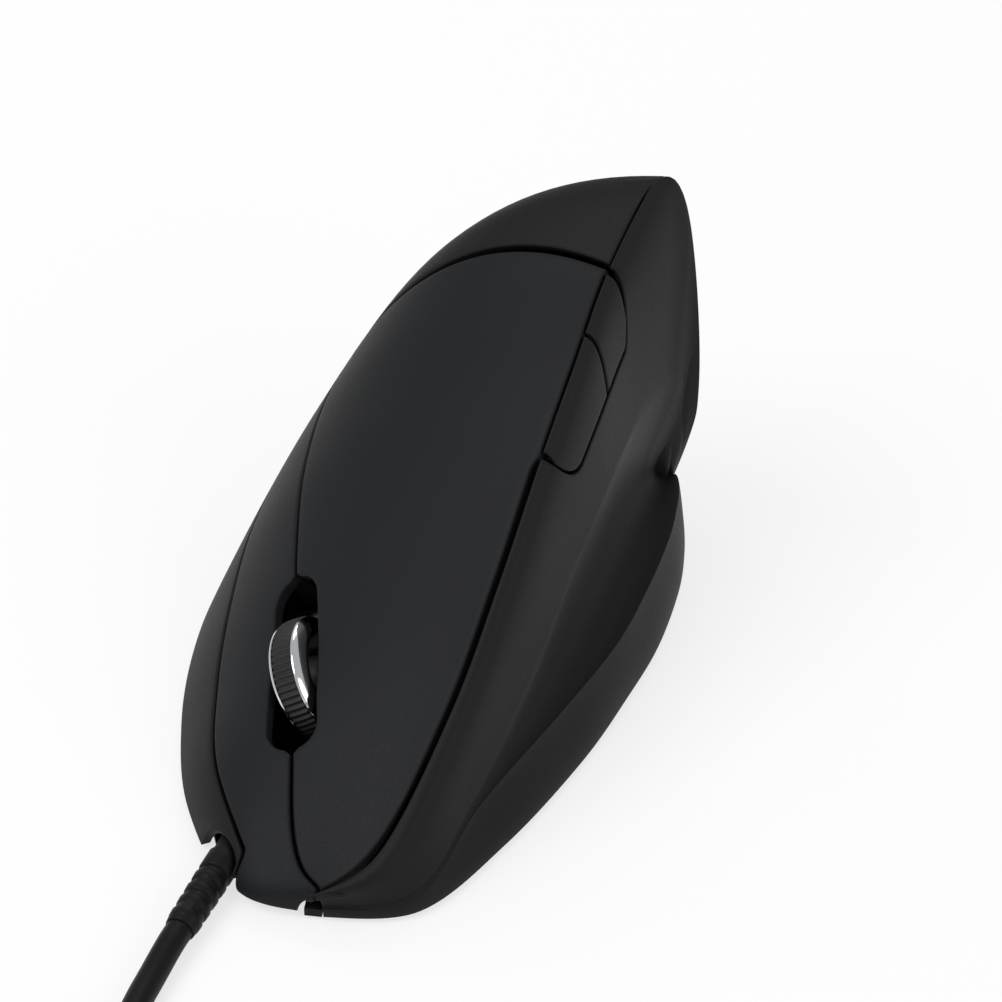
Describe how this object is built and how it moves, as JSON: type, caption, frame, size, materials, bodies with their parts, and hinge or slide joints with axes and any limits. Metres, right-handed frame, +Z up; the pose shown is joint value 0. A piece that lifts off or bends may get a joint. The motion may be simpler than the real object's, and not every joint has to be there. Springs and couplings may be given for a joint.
{
  "type": "vertical mouse",
  "caption": "Wired vertical computer mouse for the right hand, with a ribbed scroll wheel, pressed main buttons, thumb buttons, a thumb ledge and a coiled cable with a plug.",
  "frame": {"origin": "middle of the body's plan, on the desk under the glide feet, without the cable", "axes": "+Z up from the desk, -Y towards the nose and the cable, +X towards the thumb side"},
  "size_m": [0.0835, 0.2301, 0.0712],
  "materials": {
    "button_plastic": "fine matt texture, soft touch",
    "shell_plastic": "fine matt texture, soft touch",
    "base_plastic": "matt, lightly textured",
    "inner_plastic": "moulded",
    "white_plastic": "moulded",
    "glide_plastic": "smooth, slippery",
    "tyre_rubber": "fine ribs",
    "bright_ring": "bright plated",
    "steel": "ground",
    "board": "solder mask",
    "clear_lens": "clear, moulded",
    "red_lamp": "tinted",
    "cable_jacket": "satin jacket",
    "plug_metal": "plated sheet"
  },
  "bodies": {
    "case": {"base_plate": "base_plastic", "foot_front": "glide_plastic", "foot_finger_side": "glide_plastic", "foot_thumb_side": "glide_plastic", "case_screws": "steel", "inner_frame": "inner_plastic", "hinge_pin": "steel", "button_board": "board", "left_switch": "inner_plastic", "right_switch": "inner_plastic", "middle_switch": "inner_plastic", "palm_shell": "shell_plastic", "thumb_shell": "shell_plastic", "fork_pin": "steel", "fork_spring": "steel", "side_bracket": "inner_plastic", "side_pin": "steel", "side_board": "board", "forward_switch": "inner_plastic", "back_switch": "inner_plastic", "main_board": "board", "board_screws": "steel", "optical_sensor": "inner_plastic", "sensor_lens": "clear_lens", "led_lamp": "red_lamp", "controller_chip": "inner_plastic", "cable_socket": "white_plastic", "cable_tail": "cable_jacket", "cable_gland": "base_plastic", "strain_relief": "cable_jacket", "cable": "cable_jacket", "cable_coil": "cable_jacket", "cable_tie": "cable_jacket", "plug_lead": "cable_jacket", "plug_grip": "cable_jacket", "plug_shell": "plug_metal", "plug_tongue": "white_plastic"},
    "left_button": {"left_button": "button_plastic", "left_lever": "inner_plastic"},
    "right_button": {"right_button": "button_plastic", "right_lever": "inner_plastic"},
    "left_plunger": {"left_plunger": "white_plastic"},
    "right_plunger": {"right_plunger": "white_plastic"},
    "fork": {"wheel_fork": "inner_plastic", "encoder": "inner_plastic"},
    "wheel": {"wheel_axle": "steel", "wheel_hub": "inner_plastic", "scroll_tyre": "tyre_rubber", "wheel_ring_left": "bright_ring", "wheel_ring_right": "bright_ring", "encoder_rotor": "white_plastic"},
    "middle_plunger": {"middle_plunger": "white_plastic"},
    "forward_button": {"forward_button": "shell_plastic", "forward_sleeve": "inner_plastic"},
    "back_button": {"back_button": "shell_plastic", "back_sleeve": "inner_plastic"},
    "forward_plunger": {"forward_plunger": "white_plastic"},
    "back_plunger": {"back_plunger": "white_plastic"}
  },
  "joints": [
    {"name": "left_click", "type": "hinge", "parent": "case", "child": "left_button", "pos_m": [-0.01691, 0.02321, 0.01901], "axis": [0.866, 0, 0.5], "range_deg": [0, 0.6], "stiffness_Nm_per_rad": 0.6, "springref_deg": -1.15},
    {"name": "right_click", "type": "hinge", "parent": "case", "child": "right_button", "pos_m": [-0.01691, 0.02321, 0.01901], "axis": [0.866, 0, 0.5], "range_deg": [0, 0.6], "stiffness_Nm_per_rad": 0.6, "springref_deg": -1.15},
    {"name": "left_plunger_slide", "type": "slide", "parent": "case", "child": "left_plunger", "axis": [0.4755, 0.309, -0.8236], "range_m": [0, 0.00021]},
    {"name": "right_plunger_slide", "type": "slide", "parent": "case", "child": "right_plunger", "axis": [0.4755, 0.309, -0.8236], "range_m": [0, 0.00021]},
    {"name": "wheel_press", "type": "hinge", "parent": "case", "child": "fork", "pos_m": [-0.01365, -0.00201, 0.01337], "axis": [0.866, 0, 0.5], "range_deg": [0, 2], "stiffness_Nm_per_rad": 0.08, "springref_deg": -3.44},
    {"name": "wheel_spin", "type": "hinge", "parent": "fork", "child": "wheel", "pos_m": [-0.01396, -0.01693, 0.01391], "axis": [0.866, 0, 0.5], "continuous": true},
    {"name": "middle_plunger_slide", "type": "slide", "parent": "case", "child": "middle_plunger", "axis": [0.4755, 0.309, -0.8236], "range_m": [0, 0.00022]},
    {"name": "forward_press", "type": "hinge", "parent": "case", "child": "forward_button", "pos_m": [0.02047, 0.01339, 0.05054], "axis": [0.2168, 0.8173, 0.5338], "range_deg": [0, 2.6], "stiffness_Nm_per_rad": 0.08, "springref_deg": -2.86},
    {"name": "back_press", "type": "hinge", "parent": "case", "child": "back_button", "pos_m": [0.02047, 0.01339, 0.05054], "axis": [0.2168, 0.8173, 0.5338], "range_deg": [0, 2.6], "stiffness_Nm_per_rad": 0.08, "springref_deg": -2.86},
    {"name": "forward_plunger_slide", "type": "slide", "parent": "case", "child": "forward_plunger", "axis": [-0.9269, 0.3439, -0.15], "range_m": [0, 0.00023]},
    {"name": "back_plunger_slide", "type": "slide", "parent": "case", "child": "back_plunger", "axis": [-0.9269, 0.3439, -0.15], "range_m": [0, 0.00031]}
  ],
  "couplings": [
    {"joint": "left_plunger_slide", "follows": "left_click", "m_per_rad": 0.0195},
    {"joint": "right_plunger_slide", "follows": "right_click", "m_per_rad": 0.0195},
    {"joint": "wheel_press", "follows": "middle_plunger_slide", "rad_per_m": 156},
    {"joint": "forward_press", "follows": "forward_plunger_slide", "rad_per_m": 195},
    {"joint": "back_press", "follows": "back_plunger_slide", "rad_per_m": 144}
  ]
}
